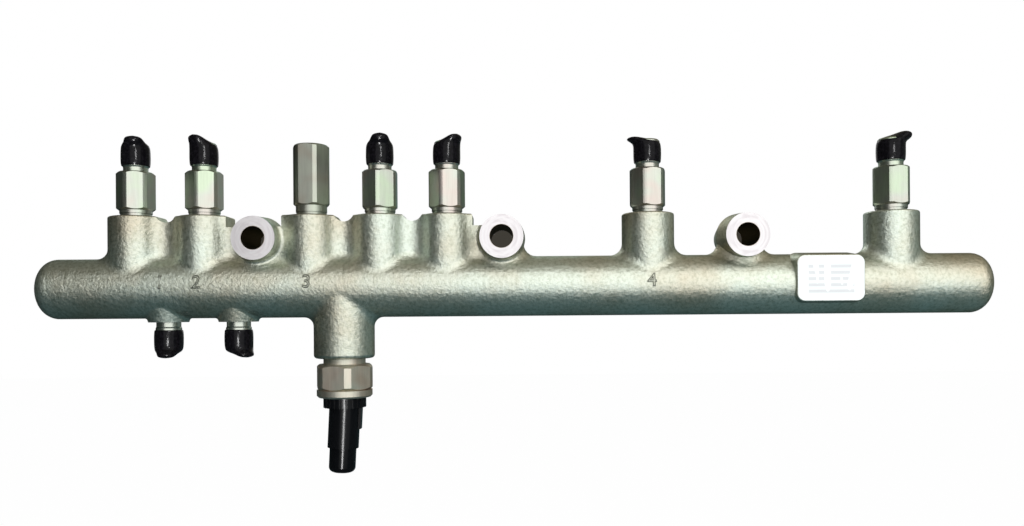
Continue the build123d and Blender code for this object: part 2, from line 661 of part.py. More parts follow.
def sensor_body():
    """The steel body: thread, collar, hexagon, turned skirt and the cavity for the electronics."""
    floor = SENSOR_BOSS_END - SENSOR_SOCKET_DEPTH
    shank = SENSOR_THREAD_RADIUS - THREAD_CLEARANCE
    lower = [(0, floor), (shank, floor), (shank, SENSOR_BOSS_END), (SENSOR_COLLAR_RADIUS, SENSOR_BOSS_END)]
    lower += [(SENSOR_COLLAR_RADIUS, SENSOR_HEX_BASE + OVERLAP), (0, SENSOR_HEX_BASE + OVERLAP)]
    rim = SENSOR_HEX_ACROSS / 2 * HEX_RIM_SHARE
    skirt = [(0, SKIRT_BASE - OVERLAP), (rim, SKIRT_BASE - OVERLAP), (rim, SKIRT_BASE)]
    skirt += [(SENSOR_SKIRT_RADIUS, SKIRT_BASE), (SENSOR_SKIRT_RADIUS, SKIRT_END - SENSOR_SKIRT_CHAMFER)]
    skirt += [(SENSOR_SKIRT_RADIUS - SENSOR_SKIRT_CHAMFER, SKIRT_END), (0, SKIRT_END)]
    hexes = hexagon(SENSOR_HEX_ACROSS, SENSOR_HEX_CORNER_RADIUS, SENSOR_HEX_BASE, SKIRT_BASE, SENSOR_HEX_TURN)
    body = turned(lower) + hexes + turned(skirt)
    body -= rod(SENSOR_PORT_RADIUS, floor, CAVITY_FLOOR)
    return body - rod(SENSOR_CAVITY_RADIUS, CAVITY_FLOOR, SKIRT_END)


def sensor_element():
    """The thin steel cap over the pressure port that carries the strain gauges."""
    inner = ELEMENT_RADIUS - ELEMENT_WALL
    top = CAVITY_FLOOR + ELEMENT_HEIGHT
    points = [(inner, CAVITY_FLOOR), (ELEMENT_RADIUS, CAVITY_FLOOR), (ELEMENT_RADIUS, top), (0, top)]
    points += [(0, top - ELEMENT_WALL), (inner, top - ELEMENT_WALL)]
    return turned(points)


def sensor_board():
    """The round circuit board over the element."""
    return rod(SENSOR_CAVITY_RADIUS - CAVITY_CLEARANCE, BOARD_BASE, BOARD_TOP)


def terminals(grows=0.0):
    """The three flat contacts, standing on the board."""
    length = RING_END + TUBE_FLOOR + TERMINAL_REACH - BOARD_TOP
    blade = Box(TERMINAL_WIDTH + 2 * grows, TERMINAL_THICK + 2 * grows, length)
    return [Pos(k * TERMINAL_SPACING, 0, BOARD_TOP + length / 2) * blade for k in (-1, 0, 1)]


def leaned(shape):
    """Lean a shape about the ring's end, as the connector's tube leans."""
    return Pos(0, 0, RING_END) * Rot(0, -TUBE_LEAN, 0) * Pos(0, 0, -RING_END) * shape


def sensor_connector():
    """The plastic connector: spigot in the body, ribbed ring, tube with its lock tab."""
    spigot = rod(SENSOR_CAVITY_RADIUS - CAVITY_CLEARANCE, BOARD_TOP, SKIRT_END)
    ring = rod(RING_RADIUS, SKIRT_END, RING_END)
    groove = Box(2 * RIB_DEPTH, RIB_GAP, RING_HEIGHT)
    groove = Pos(RING_RADIUS, 0, SKIRT_END + RIB_FOOT + RING_HEIGHT / 2) * groove
    for k in range(RIB_COUNT):
        ring -= Rot(0, 0, k * 360 / RIB_COUNT) * groove
    shell = rod(TUBE_RADIUS, RING_END - OVERLAP, TUBE_END)
    shell += Pos(TUBE_RADIUS, 0, RING_END + TAB_LENGTH / 2) * Box(TAB_DEPTH, TAB_WIDTH, TAB_LENGTH)
    hollow = rod(TUBE_RADIUS - TUBE_WALL, RING_END + TUBE_FLOOR, TUBE_END)
    connector = spigot + ring + leaned(shell) - leaned(hollow)
    for slot in terminals(TERMINAL_CLEARANCE):
        connector -= slot
    return connector


def sensor_plug():
    """The dust plug in the connector's mouth, hollow towards the contacts."""
    grip = TUBE_RADIUS - TUBE_WALL - PLUG_CLEARANCE
    points = [(0, TUBE_END - PLUG_DEPTH), (grip, TUBE_END - PLUG_DEPTH), (grip, TUBE_END)]
    points += [(PLUG_RADIUS, TUBE_END), (PLUG_RADIUS, TUBE_END + PLUG_GRIP), (0, TUBE_END + PLUG_GRIP)]
    plug = turned(points)
    plug = fillet(plug.edges().filter_by(GeomType.CIRCLE).sort_by(Axis.Z)[-1], PLUG_ROUND)
    plug -= rod(grip - PLUG_WALL, TUBE_END - PLUG_DEPTH, TUBE_END + PLUG_GRIP - PLUG_ROUND)
    return leaned(plug)


def save(name, shape):
    """Move a finished piece from the rail's axis to the part's origin and write it."""
    piece = Pos(0, AXIS_Y, AXIS_Z) * shape
    piece.label = name
    export_step(piece, f"parts/{name}.step")


def main():
    """Build every piece and write one file for each."""
    os.makedirs("parts", exist_ok=True)
    save("rail_body", rail_body())
    save("bore_plug", bore_plug())
    save("rating_label", rating_label())
    for number, x in enumerate(OUTLET_X, 1):
        save(f"flow_limiter_body_{number}", place(flow_limiter_body(HEX_TURNS[number - 1]), x))
        save(f"flow_limiter_stop_{number}", place(flow_limiter_stop(), x))
        save(f"flow_limiter_piston_{number}", place(flow_limiter_piston(), x))
        save(f"flow_limiter_spring_{number}", place(flow_limiter_spring(), x))
        save(f"outlet_cap_{number}", place(dust_cap(LINE_TOP - LINE_THREAD_LENGTH, LINE_TOP), x))
    save("limiter_body", place(limiter_body(LIMITER_TURN), LIMITER_X))
    save("limiter_seat", place(limiter_seat(), LIMITER_X))
    save("limiter_ball", place(limiter_ball(), LIMITER_X))
    save("limiter_guide", place(limiter_guide(), LIMITER_X))
    save("limiter_spring", place(limiter_spring(), LIMITER_X))
    save("limiter_screw", place(limiter_screw(), LIMITER_X))
    save("sensor_body", place(sensor_body(), SENSOR_X, down=True))
    save("sensor_element", place(sensor_element(), SENSOR_X, down=True))
    save("sensor_board", place(sensor_board(), SENSOR_X, down=True))
    save("sensor_terminals", place(Compound(terminals()), SENSOR_X, down=True))
    save("sensor_connector", place(sensor_connector(), SENSOR_X, down=True))
    save("sensor_plug", place(sensor_plug(), SENSOR_X, down=True))
    nipple_top = SHOULDER_END + LINE_NECK_LENGTH + LINE_THREAD_LENGTH
    for number, x in enumerate(INLET_X, 1):
        save(f"inlet_cap_{number}", place(dust_cap(SHOULDER_END + CAP_BARE_THREAD, nipple_top), x, down=True))


main()
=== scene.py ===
"""Looks of a forged common-rail fuel rail: finishes, soft caps, springs, forge marks and the stage."""

import json
import math

import bmesh
import bpy
from bpy.props import FloatProperty, FloatVectorProperty, PointerProperty
from mathutils import Matrix, Vector

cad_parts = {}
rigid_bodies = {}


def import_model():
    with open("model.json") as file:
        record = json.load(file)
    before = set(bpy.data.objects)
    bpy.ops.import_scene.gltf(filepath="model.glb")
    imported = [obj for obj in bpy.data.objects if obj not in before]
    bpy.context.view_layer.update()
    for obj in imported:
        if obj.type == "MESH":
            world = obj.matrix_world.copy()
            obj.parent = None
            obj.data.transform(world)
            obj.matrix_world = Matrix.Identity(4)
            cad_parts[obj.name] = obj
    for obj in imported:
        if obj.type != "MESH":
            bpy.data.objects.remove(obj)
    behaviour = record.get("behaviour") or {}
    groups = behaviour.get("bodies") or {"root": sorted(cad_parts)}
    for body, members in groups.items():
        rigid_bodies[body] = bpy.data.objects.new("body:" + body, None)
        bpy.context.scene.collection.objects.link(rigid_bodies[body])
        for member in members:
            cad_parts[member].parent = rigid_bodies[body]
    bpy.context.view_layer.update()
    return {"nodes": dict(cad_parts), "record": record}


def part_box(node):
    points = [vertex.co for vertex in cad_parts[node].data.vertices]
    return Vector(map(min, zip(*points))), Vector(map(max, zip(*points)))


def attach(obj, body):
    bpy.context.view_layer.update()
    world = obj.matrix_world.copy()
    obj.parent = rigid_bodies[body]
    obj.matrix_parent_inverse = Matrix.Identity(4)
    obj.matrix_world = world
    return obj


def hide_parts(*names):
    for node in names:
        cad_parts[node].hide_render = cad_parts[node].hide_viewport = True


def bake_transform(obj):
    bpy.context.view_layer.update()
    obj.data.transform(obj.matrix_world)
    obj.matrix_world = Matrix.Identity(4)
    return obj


bl_info = {
    "name": "Fuel Rail Looks",
    "version": (1, 0, 0),
    "blender": (4, 5, 0),
    "location": "3D View > Sidebar > Fuel Rail",
    "description": "Finishes, soft caps, forge marks and a studio stage for a forged common-rail fuel rail",
    "category": "Object",
}

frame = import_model()
MM = 0.001

OUTLETS = range(1, 7)


def middle(node):
    """Middle of a CAD node's box."""
    low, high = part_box(node)
    return (low + high) / 2


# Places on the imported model, in metres
AXIS_Y = middle("bore_plug").y
AXIS_Z = middle("bore_plug").z
BAR_RADIUS = 17.0 * MM
LUG_HOLES = [mount for mount in frame["record"]["mounts"] if mount["name"].startswith("lug_hole")]
LUG_X = [mount["pos_m"][0] for mount in LUG_HOLES]
LUG_HOLE_RADIUS = 6.5 * MM

# Where the forging is cut bright: lug faces beyond these planes and within this radius of a lug's axis, bores
# within a smaller one, boss tops above a height, and the inlet nipples below one and left of NIPPLE_RIGHT_X
LUG_FRONT_Y = AXIS_Y - 17.95 * MM
LUG_BACK_Y = -0.05 * MM
LUG_FACE_RADIUS = 12.2 * MM
LUG_BORE_RADIUS = LUG_HOLE_RADIUS + 0.1 * MM
BOSS_TOP_Z = AXIS_Z + 40.5 * MM
NIPPLE_END_Z = AXIS_Z - 19.05 * MM
NIPPLE_RIGHT_X = -130 * MM

# The label's print area and its rows of bars
PRINT_HALF_WIDTH = 12.5 * MM
PRINT_HALF_HEIGHT = 9.0 * MM
PRINT_ROW_PITCH = 3.4 * MM

# Height of a font's body over the height of its digits
BODY_TO_DIGIT = 1.38


def linear(code):
    """An sRGB hex colour as linear red, green, blue."""
    values = [int(code[i : i + 2], 16) / 255 for i in (1, 3, 5)]
    return tuple(v / 12.92 if v <= 0.04045 else ((v + 0.055) / 1.055) ** 2.4 for v in values)


def opaque(colour):
    """A colour property with full alpha, as a node's socket wants it."""
    return (*colour[:3], 1.0)


def add(tree, kind, inputs=None, **settings):
    """Adds a node with its settings, and sets or links each input that is given."""
    node = tree.nodes.new(kind)
    for name, value in settings.items():
        setattr(node, name, value)
    for name, value in (inputs or {}).items():
        if isinstance(value, bpy.types.NodeSocket):
            tree.links.new(value, node.inputs[name])
        else:
            node.inputs[name].default_value = value
    return node


def ramp(tree, factor, *stops):
    """A colour ramp through (position, colour) stops."""
    node = add(tree, "ShaderNodeValToRGB", {"Fac": factor})
    elements = node.color_ramp.elements
    for index, (position, colour) in enumerate(stops):
        element = elements[index] if index < 2 else elements.new(position)
        element.position = position
        element.color = opaque(colour)
    return node.outputs["Color"]


def noise(tree, place, size, detail=2.0, stretch=None, roughness=0.5):
    """Noise whose lumps are about the given size in metres, stretched along an axis if asked."""
    vector = place
    if stretch:
        vector = add(tree, "ShaderNodeMapping", {"Vector": place, "Scale": stretch}).outputs["Vector"]
    settings = {"Vector": vector, "Scale": 0.5 / size, "Detail": detail, "Roughness": roughness}
    return add(tree, "ShaderNodeTexNoise", settings).outputs["Fac"]


def math_node(tree, operation, *values):
    """A math node's result; its values are numbers or sockets."""
    return add(tree, "ShaderNodeMath", dict(enumerate(values)), operation=operation).outputs[0]


def blend_colour(tree, factor, first, second, mode="MIX"):
    """Mixes two colours, each a colour or a socket."""
    sides = {"Factor": factor, "A": first, "B": second}
    node = tree.nodes.new("ShaderNodeMix")
    node.data_type = "RGBA"
    node.blend_type = mode
    for socket in node.inputs:
        if socket.name in sides and socket.type == ("VALUE" if socket.name == "Factor" else "RGBA"):
            value = sides[socket.name]
            if isinstance(value, bpy.types.NodeSocket):
                tree.links.new(value, socket)
            else:
                socket.default_value = value if socket.name == "Factor" else opaque(value)
    return next(out for out in node.outputs if out.type == "RGBA")


def bare_material(name):
    """A material without nodes, and its node tree."""
    made = bpy.data.materials.new(name)
    made.use_nodes = True
    made.node_tree.nodes.clear()
    return made, made.node_tree


def material(name):
    """A material with a Principled shader, and the object-space place on the surface."""
    made, tree = bare_material(name)
    shader = add(tree, "ShaderNodeBsdfPrincipled")
    add(tree, "ShaderNodeOutputMaterial", {"Surface": shader.outputs["BSDF"]})
    place = add(tree, "ShaderNodeTexCoord").outputs["Object"]
    return made, tree, shader, place


def finish_node(node, *materials):
    """Gives a CAD node its materials in its own slots."""
    slots = frame["nodes"][node].data.materials
    slots.clear()
    for each in materials:
        slots.append(each)


def bump(tree, height, distance, strength=1.0, under=None):
    """A bump of a height in metres, on top of another one if given."""
    inputs = {"Height": height, "Distance": distance, "Strength": strength}
    if under is not None:
        inputs["Normal"] = under
    return add(tree, "ShaderNodeBump", inputs).outputs["Normal"]


# ---------------------------------------------------------------- user sizes and colours


class RailFinishes(bpy.types.PropertyGroup):
    """Colours of the rail's finishes."""

    forging: FloatVectorProperty(
        name="Forging",
        description="Shot-blasted, zinc-coated forging",
        subtype="COLOR",
        default=linear("#DCE3D8"),
    )
    forging_shade: FloatVectorProperty(
        name="Forging, worn",
        description="Browner patches of the zinc coat",
        subtype="COLOR",
        default=linear("#D3CBB8"),
    )
    machined: FloatVectorProperty(
        name="Machined steel",
        description="Turned and milled fittings",
        subtype="COLOR",
        default=linear("#C6C9BF"),
    )
    lug_face: FloatVectorProperty(
        name="Lug faces",
        description="Freshly milled faces of the lugs",
        subtype="COLOR",
        default=linear("#D6D2D4"),
    )
    bore: FloatVectorProperty(
        name="Bores",
        description="Drilled walls of the lug holes",
        subtype="COLOR",
        default=linear("#A89C88"),
    )
    vinyl: FloatVectorProperty(
        name="Vinyl", description="Dipped dust caps", subtype="COLOR", default=linear("#0B0A0D")
    )
    nylon: FloatVectorProperty(
        name="Nylon", description="Glass-filled connector", subtype="COLOR", default=linear("#090A0C")
    )
    label: FloatVectorProperty(
        name="Label", description="Blank label film", subtype="COLOR", default=linear("#E6ECEB")
    )


class RailSizes(bpy.types.PropertyGroup):
    """Sizes of the pieces modelled here."""

    cap_radius: FloatProperty(
        name="Cap radius", description="Outer radius of a soft cap", default=7.85 * MM, unit="LENGTH"
    )
    cap_wall: FloatProperty(
        name="Cap wall", description="Wall of a soft cap", default=0.8 * MM, unit="LENGTH"
    )
    mark_height: FloatProperty(
        name="Mark height", description="Height of a forge mark", default=7.4 * MM, unit="LENGTH"
    )
    mark_rise: FloatProperty(
        name="Mark rise",
        description="How far the outline of a forge mark stands proud",
        default=0.32 * MM,
        unit="LENGTH",
    )


class RailStage(bpy.types.PropertyGroup):
    """Camera and lights."""

    distance: FloatProperty(
        name="Distance",
        description="From the camera to the rail's axis plane",
        default=456 * MM,
        unit="LENGTH",
    )
    offset: FloatProperty(
        name="Offset", description="Camera to the right of the middle lug", default=5.5 * MM, unit="LENGTH"
    )
    rise: FloatProperty(
        name="Rise", description="Camera above the rail's axis", default=-14.7 * MM, unit="LENGTH"
    )
    shift: FloatProperty(name="Shift", description="Picture moved up on the sensor", default=0.0478)
    roll: FloatProperty(
        name="Roll", description="Tilt of the picture", default=math.radians(-0.43), subtype="ANGLE"
    )
    lens: FloatProperty(name="Lens", description="Focal length", default=28.125, unit="CAMERA")
    key_power: FloatProperty(name="Key light", description="Main soft light", default=14.2, unit="POWER")


# ---------------------------------------------------------------- finishes

PLASTIC_IOR = 1.53
TOOL_LINES = 0.3 * MM


def near_lugs(tree, place):
    """Distance of a point from the nearest lug's axis, and the point's separate coordinates."""
    parts = add(tree, "ShaderNodeSeparateXYZ", {"Vector": place}).outputs
    flat = add(tree, "ShaderNodeCombineXYZ", {"X": parts["X"], "Z": parts["Z"]}).outputs[0]
    nearest = None
    for x in LUG_X:
        ends = {0: flat, 1: (x, 0, 0)}
        apart = add(tree, "ShaderNodeVectorMath", ends, operation="DISTANCE").outputs["Value"]
        nearest = apart if nearest is None else math_node(tree, "MINIMUM", nearest, apart)
    return nearest, parts


def shot_blasted_zinc(colours):
    """Forged steel, shot blasted and zinc plated: fine even grain, half matt, with greener and browner
    patches of coating. The lug faces, boss tops, bores and inlet nipples are cut bright and smooth."""
    made, tree, shader, place = material("shot_blasted_zinc_forging")
    nearest, parts = near_lugs(tree, place)
    lug_front = math_node(tree, "LESS_THAN", parts["Y"], LUG_FRONT_Y)
    lug_back = math_node(tree, "GREATER_THAN", parts["Y"], LUG_BACK_Y)
    face = math_node(tree, "MAXIMUM", lug_front, lug_back)
    face = math_node(tree, "MULTIPLY", face, math_node(tree, "LESS_THAN", nearest, LUG_FACE_RADIUS))
    bore = math_node(tree, "LESS_THAN", nearest, LUG_BORE_RADIUS)
    top = math_node(tree, "GREATER_THAN", parts["Z"], BOSS_TOP_Z)
    end = math_node(tree, "LESS_THAN", parts["Z"], NIPPLE_END_Z)
    nipple = math_node(tree, "MULTIPLY", end, math_node(tree, "LESS_THAN", parts["X"], NIPPLE_RIGHT_X))
    cut = math_node(tree, "MAXIMUM", face, bore)
    cut = math_node(tree, "MAXIMUM", cut, math_node(tree, "MAXIMUM", top, nipple))

    patches = noise(tree, place, 22 * MM, detail=4.0)
    patch_mask = ramp(tree, patches, (0.40, (0, 0, 0)), (0.66, (1, 1, 1)))
    speck = noise(tree, place, 0.9 * MM, detail=3.0, roughness=0.6)
    skin = blend_colour(tree, patch_mask, colours.forging, colours.forging_shade)
    speck_tone = ramp(tree, speck, (0.32, (0.74, 0.75, 0.71)), (0.56, (1.0, 1.0, 1.0)))
    skin = blend_colour(tree, 1.0, skin, speck_tone, mode="MULTIPLY")
    # The face mill leaves rings round the hole, which drift a little from one side to the other
    drift = math_node(tree, "MULTIPLY", parts["X"], 0.3)
    swept = add(tree, "ShaderNodeCombineXYZ", {"X": nearest, "Y": drift})
    arcs = noise(tree, swept.outputs[0], 0.9 * MM, detail=2.0)
    tool_marks = ramp(tree, arcs, (0.36, (0.86, 0.84, 0.85)), (0.56, (1.0, 1.0, 1.0)))
    milled = blend_colour(tree, 1.0, colours.lug_face, tool_marks, mode="MULTIPLY")
    bright = blend_colour(tree, face, colours.machined, milled)
    bright = blend_colour(tree, bore, bright, colours.bore)
    tree.links.new(blend_colour(tree, cut, skin, bright), shader.inputs["Base Color"])

    # Blasting leaves dimples of 0.3 to 0.6 mm; they are drawn near 1 mm so that they show at this size
    dimples = noise(tree, place, 0.95 * MM, detail=3.0, roughness=0.6)
    lumps = noise(tree, place, 3.2 * MM, detail=1.0)
    rough_coat = math_node(tree, "MULTIPLY_ADD", speck, 0.16, 0.34)
    rough = add(tree, "ShaderNodeMix", {"Factor": cut, "A": rough_coat, "B": 0.30}).outputs[0]
    tree.links.new(rough, shader.inputs["Roughness"])
    blasted = math_node(tree, "SUBTRACT", 1.0, cut)
    grain = math_node(tree, "MULTIPLY", dimples, blasted)
    swell = math_node(tree, "MULTIPLY", lumps, blasted)
    coarse = bump(tree, swell, 0.2 * MM, 0.8)
    fine = bump(tree, grain, 0.30 * MM, 1.0, under=coarse)
    tree.links.new(fine, shader.inputs["Normal"])
    shader.inputs["Metallic"].default_value = 1.0
    shader.inputs["Specular Tint"].default_value = opaque(linear("#4A6463"))
    return made


def turned_zinc(name, colour, tint, warm, rough):
    """Free-cutting steel, turned and milled, under a thin clear zinc: smooth, with fine tool lines round the
    piece and a faint rainbow cast in the coating."""
    made, tree, shader, place = material(name)
    cast = noise(tree, place, 9 * MM, detail=2.0)
    tone = ramp(tree, cast, (0.34, tint), (0.50, colour), (0.68, warm))
    streaks = noise(tree, place, 0.5 * MM, detail=2.0, stretch=(1.0, 1.0, 0.06))
    shade = ramp(tree, streaks, (0.35, (0.90, 0.90, 0.90)), (0.65, (1.0, 1.0, 1.0)))
    tree.links.new(blend_colour(tree, 1.0, tone, shade, mode="MULTIPLY"), shader.inputs["Base Color"])
    rings = noise(tree, place, TOOL_LINES, detail=1.0, stretch=(0.02, 0.02, 1.0))
    tree.links.new(math_node(tree, "MULTIPLY_ADD", streaks, 0.12, rough), shader.inputs["Roughness"])
    tree.links.new(bump(tree, rings, 0.02 * MM, 0.5), shader.inputs["Normal"])
    shader.inputs["Metallic"].default_value = 1.0
    shader.inputs["Specular Tint"].default_value = opaque(linear("#5C7474"))
    return made


def plain_steel(name, colour, rough, grain):
    """Ground or drawn steel of the hidden valve parts: even, with fine grinding lines."""
    made, tree, shader, place = material(name)
    lines = noise(tree, place, grain, detail=2.0, stretch=(1.0, 1.0, 0.1))
    tone = ramp(tree, lines, (0.3, [c * 0.85 for c in colour]), (0.7, colour))
    tree.links.new(tone, shader.inputs["Base Color"])
    tree.links.new(math_node(tree, "MULTIPLY_ADD", lines, 0.1, rough), shader.inputs["Roughness"])
    shader.inputs["Metallic"].default_value = 1.0
    return made


def dipped_vinyl(colours):
    """Soft PVC from a dip tank: deep black with narrow glints, on a slightly rippled skin. Its specular level
    is set far below real PVC's, so that a large soft light doesn't turn it grey."""
    made, tree, shader, place = material("dipped_vinyl")
    ripples = noise(tree, place, 2.6 * MM, detail=2.0)
    dust = noise(tree, place, 0.7 * MM, detail=2.0)
    tone = ramp(tree, dust, (0.45, colours.vinyl), (0.9, linear("#1D1B20")))
    tree.links.new(tone, shader.inputs["Base Color"])
    tree.links.new(math_node(tree, "MULTIPLY_ADD", ripples, 0.12, 0.12), shader.inputs["Roughness"])
    tree.links.new(bump(tree, ripples, 0.25 * MM, 0.5), shader.inputs["Normal"])
    shader.inputs["IOR"].default_value = PLASTIC_IOR
    shader.inputs["Specular IOR Level"].default_value = 0.08
    return made


def moulded_nylon(name, colour, rough, grain):
    """Black engineering plastic: moulded, with a fine sparked grain that dulls its shine a little. Its
    specular level is below the real one for the same reason as the vinyl's."""
    made, tree, shader, place = material(name)
    cells = noise(tree, place, grain, detail=2.0)
    tone = ramp(tree, cells, (0.3, colour), (0.8, [c * 1.5 for c in colour]))
    tree.links.new(tone, shader.inputs["Base Color"])
    tree.links.new(math_node(tree, "MULTIPLY_ADD", cells, 0.12, rough), shader.inputs["Roughness"])
    tree.links.new(bump(tree, cells, 0.03 * MM, 0.2), shader.inputs["Normal"])
    shader.inputs["IOR"].default_value = PLASTIC_IOR
    shader.inputs["Specular IOR Level"].default_value = 0.07
    return made


def label_film(colours):
    """Blank polyester label: bright white and slightly satin, with pale grey bars in place of print."""
    made, tree, shader, place = material("polyester_label_film")
    low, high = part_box("rating_label")
    parts = add(tree, "ShaderNodeSeparateXYZ", {"Vector": place}).outputs
    # Rows of bars half a pitch high, broken up along the row
    above = math_node(tree, "SUBTRACT", parts["Z"], low.z)
    row = math_node(tree, "FRACT", math_node(tree, "DIVIDE", above, PRINT_ROW_PITCH))
    in_row = math_node(tree, "COMPARE", row, 0.5, 0.25)
    blocks = noise(tree, place, 2.2 * MM, detail=0.0, stretch=(1.0, 0.0, 0.35))
    broken = math_node(tree, "GREATER_THAN", blocks, 0.46)
    inside_x = math_node(tree, "COMPARE", parts["X"], (low.x + high.x) / 2, PRINT_HALF_WIDTH)
    inside_z = math_node(tree, "COMPARE", parts["Z"], (low.z + high.z) / 2, PRINT_HALF_HEIGHT)
    mask = math_node(tree, "MULTIPLY", in_row, broken)
    mask = math_node(tree, "MULTIPLY", mask, math_node(tree, "MULTIPLY", inside_x, inside_z))
    tone = blend_colour(tree, mask, colours.label, linear("#D0D4D6"))
    tree.links.new(tone, shader.inputs["Base Color"])
    shader.inputs["Roughness"].default_value = 0.38
    haze = noise(tree, place, 5 * MM, detail=2.0)
    tree.links.new(bump(tree, haze, 0.05 * MM, 0.3), shader.inputs["Normal"])
    return made


def glass_epoxy():
    """Glass-epoxy board: green lacquer over a faint weave."""
    made, tree, shader, place = material("glass_epoxy_board")
    weave = noise(tree, place, 0.6 * MM, detail=1.0)
    tone = ramp(tree, weave, (0.4, linear("#0E4A2C")), (0.6, linear("#156038")))
    tree.links.new(tone, shader.inputs["Base Color"])
    shader.inputs["Roughness"].default_value = 0.35
    return made


# ---------------------------------------------------------------- pieces


def put(name, mesh_builder, finish):
    """Turns a bmesh into an object of the scene."""
    mesh = bpy.data.meshes.new(name)
    mesh_builder.to_mesh(mesh)
    mesh_builder.free()
    mesh.materials.append(finish)
    thing = bpy.data.objects.new(name, mesh)
    bpy.context.scene.collection.objects.link(thing)
    return thing


def keep(name, mesh_builder, finish, levels=0, body="rail"):
    """Turns a bmesh into a finished piece: normals outwards, smooth shading, rounded by so many levels and its
    body."""
    bmesh.ops.remove_doubles(mesh_builder, verts=mesh_builder.verts, dist=0.001 * MM)
    bmesh.ops.recalc_face_normals(mesh_builder, faces=mesh_builder.faces)
    piece = put(name, mesh_builder, finish)
    piece.data.shade_smooth()
    if levels:
        rounding = piece.modifiers.new("Rounding", "SUBSURF")
        rounding.levels = levels
        rounding.render_levels = levels
    if body is not None:
        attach(piece, body)
    return piece


def ring_matrix(back, front, half_width, heading):
    """Carries a unit circle on Z to a ring that runs from back to front, each (outwards, height), is
    half_width to each side and faces heading."""
    back = Vector((back[0], 0, back[1]))
    front = Vector((front[0], 0, front[1]))
    along = (front - back) / 2
    across = Vector((0, half_width, 0))
    normal = along.cross(across).normalized()
    place = Matrix((along, across, normal)).transposed().to_4x4()
    place.translation = (back + front) / 2
    return Matrix.Rotation(heading, 4, "Z") @ place


def nearest_index(points, spot):
    """Which of the points lies nearest a spot."""
    return min(range(len(points)), key=lambda i: (points[i] - spot).length)


def settle_order(mesh_builder):
    """Puts edges and faces in the order of their corners: extruding leaves them in one that changes from run
    to run."""
    mesh_builder.verts.index_update()
    count = len(mesh_builder.verts)

    def rank(item):
        corners = sorted(vert.index for vert in item.verts)
        return sum(corner * count**power for power, corner in enumerate(corners))

    mesh_builder.edges.sort(key=rank)
    mesh_builder.faces.sort(key=rank)


# A cap's rings from its foot to the tip of its pull tab, in millimetres above the foot:
# back and front of the ring as (outwards, height), and half its width
CAP_RINGS = (
    ((-7.50, 0.0), (7.50, 0.0), 7.50),
    ((-7.75, 0.9), (7.75, 0.9), 7.75),
    ((-7.95, 4.0), (7.95, 4.0), 7.95),
    ((-7.90, 8.6), (7.90, 8.2), 7.85),
    ((-7.50, 11.2), (8.00, 10.2), 7.70),
    ((-6.40, 12.6), (8.50, 11.2), 7.20),
    ((-4.40, 13.3), (9.20, 11.9), 6.50),
    ((-1.60, 13.9), (10.00, 12.5), 5.70),
    ((1.40, 14.6), (10.70, 13.2), 5.20),
    ((4.20, 15.4), (11.00, 14.0), 4.60),
    ((6.40, 15.8), (10.80, 14.9), 3.60),
)
CAP_TIP = (8.6, 15.9)
# The tab begins above the shoulder and outside the body; the rings are drawn for a cap of the drawn radius
CAP_SHOULDER = 12.4
CAP_BODY = 7.95
CAP_DRAWN_RADIUS = 7.85 * MM
CAP_SEGMENTS = 32


def soft_cap(name, node, heading, sizes, finish, rise=1.0, tab=1.0, down=False):
    """A dipped cap with its pull tab bent over: rings of one shell, drawn up from the foot and closed at the
    tip, then given a wall inwards. heading turns the tab, rise scales its height above the cap's shoulder and
    tab how far it reaches."""

    def height(z):
        return (z + (rise - 1.0) * max(z - CAP_SHOULDER, 0.0)) * MM

    def outwards(u):
        return (u + (tab - 1.0) * max(u - CAP_BODY, 0.0)) * wide * MM

    low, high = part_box(node)
    centre = middle(node)
    base = Vector((centre.x, centre.y, high.z if down else low.z))
    wide = sizes.cap_radius / CAP_DRAWN_RADIUS
    cap = bmesh.new()
    bmesh.ops.create_circle(cap, segments=CAP_SEGMENTS, radius=1.0)
    flip = Matrix.Rotation(math.pi, 4, "X") if down else Matrix.Identity(4)
    previous = None
    edges = cap.edges[:]
    verts = cap.verts[:]
    rest = [v.co.copy() for v in verts]
    for back, front, half in CAP_RINGS:
        rear = (outwards(back[0]), height(back[1]))
        fore = (outwards(front[0]), height(front[1]))
        place = ring_matrix(rear, fore, half * wide * MM, heading)
        place = Matrix.Translation(base) @ flip @ place
        if previous is not None:
            grown = bmesh.ops.extrude_edge_only(cap, edges=edges)["geom"]
            edges = [g for g in grown if isinstance(g, bmesh.types.BMEdge)]
            new = [g for g in grown if isinstance(g, bmesh.types.BMVert)]
            verts = sorted(new, key=lambda v: nearest_index(previous, v.co))
        previous = []
        for vert, spot in zip(verts, rest):
            vert.co = place @ spot
            previous.append(vert.co.copy())
    closing = bmesh.ops.edgeloop_fill(cap, edges=edges)["faces"]
    tip = bmesh.ops.poke(cap, faces=closing)["verts"][0]
    spot = Vector((outwards(CAP_TIP[0]), 0, height(CAP_TIP[1])))
    tip.co = Matrix.Translation(base) @ flip @ Matrix.Rotation(heading, 4, "Z") @ spot
    settle_order(cap)
    piece = keep(name, cap, finish, levels=2)
    wall = piece.modifiers.new("Wall", "SOLIDIFY")
    wall.thickness = sizes.cap_wall
    wall.offset = -1.0
    # The wall comes first, so that its rim is rounded too
    piece.modifiers.move(1, 0)
    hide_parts(node)
    return piece


def live_spring(node, finish):
    """A coil spring: the CAD coil copied as a piece of its own that belongs to no body, in place of the CAD
    node."""
    coil = bmesh.new()
    coil.from_mesh(frame["nodes"][node].data)
    bmesh.ops.transform(coil, matrix=frame["nodes"][node].matrix_world, verts=coil.verts)
    piece = keep(f"live_{node}", coil, finish, body=None)
    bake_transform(piece)
    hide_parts(node)
    return piece


